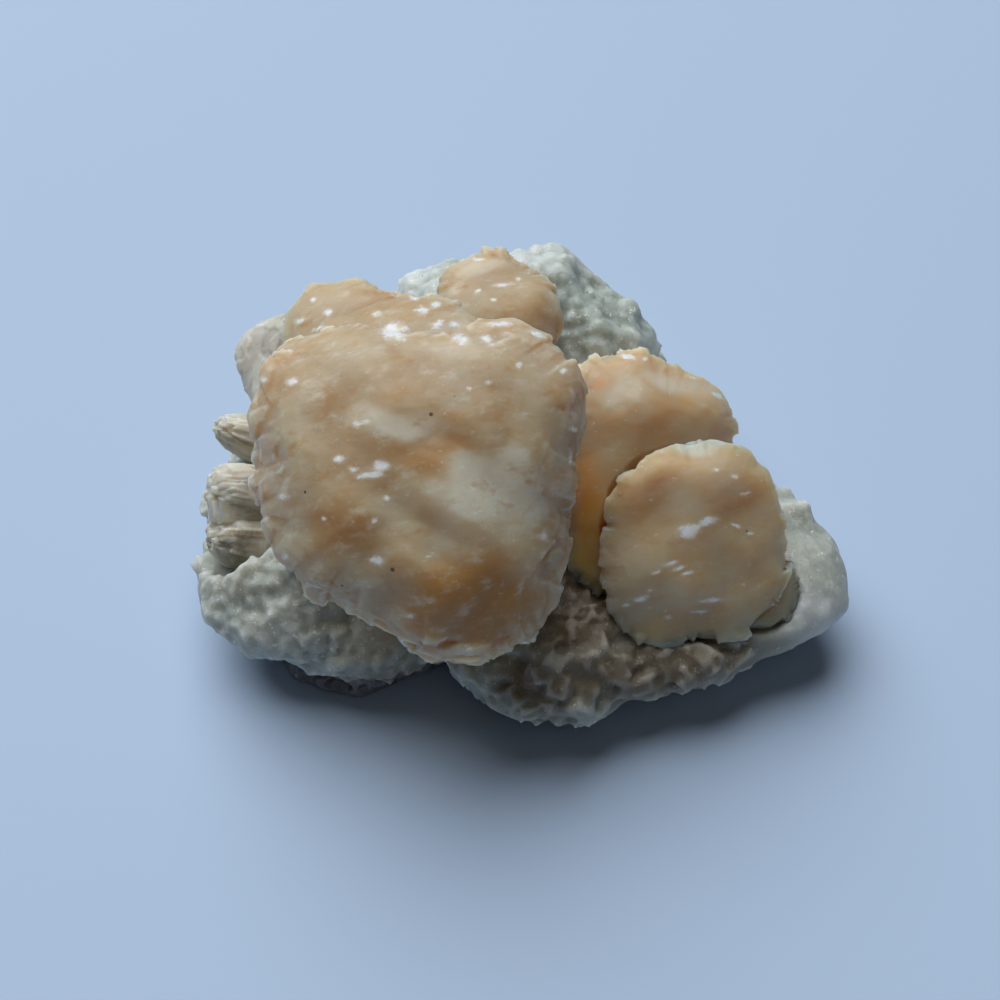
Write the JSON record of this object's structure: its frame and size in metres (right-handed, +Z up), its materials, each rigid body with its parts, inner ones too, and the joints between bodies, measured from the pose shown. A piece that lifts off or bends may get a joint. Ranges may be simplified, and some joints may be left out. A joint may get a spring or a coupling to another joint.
{
  "type": "stilbite cluster",
  "caption": "Mineral specimen: domed peach stilbite sheaves grown together on a lumpy white druse crust over dark basalt, free-standing on a flat underside.",
  "frame": {"origin": "on the surface that the cluster rests on, under the middle of its bounding box", "axes": "+X to the right and -Y to the front as the display face is looked at, +Z up from the resting surface"},
  "size_m": [0.0802, 0.0606, 0.0441],
  "materials": {
    "stilbite": "translucent, waxy to pearly, faintly ribbed",
    "pale_stilbite": "translucent, silky, finely ribbed",
    "druse": "translucent, glassy and granular",
    "basalt": "matt, broken"
  },
  "bodies": {
    "root": {"main_sheaf": "stilbite", "back_sheaf": "stilbite", "right_rear_sheaf": "stilbite", "right_front_sheaf": "stilbite", "left_upper_sheaf": "pale_stilbite", "left_middle_sheaf": "pale_stilbite", "left_lower_sheaf": "pale_stilbite", "druse_crust": "druse", "basalt_rind": "basalt"}
  },
  "joints": []
}
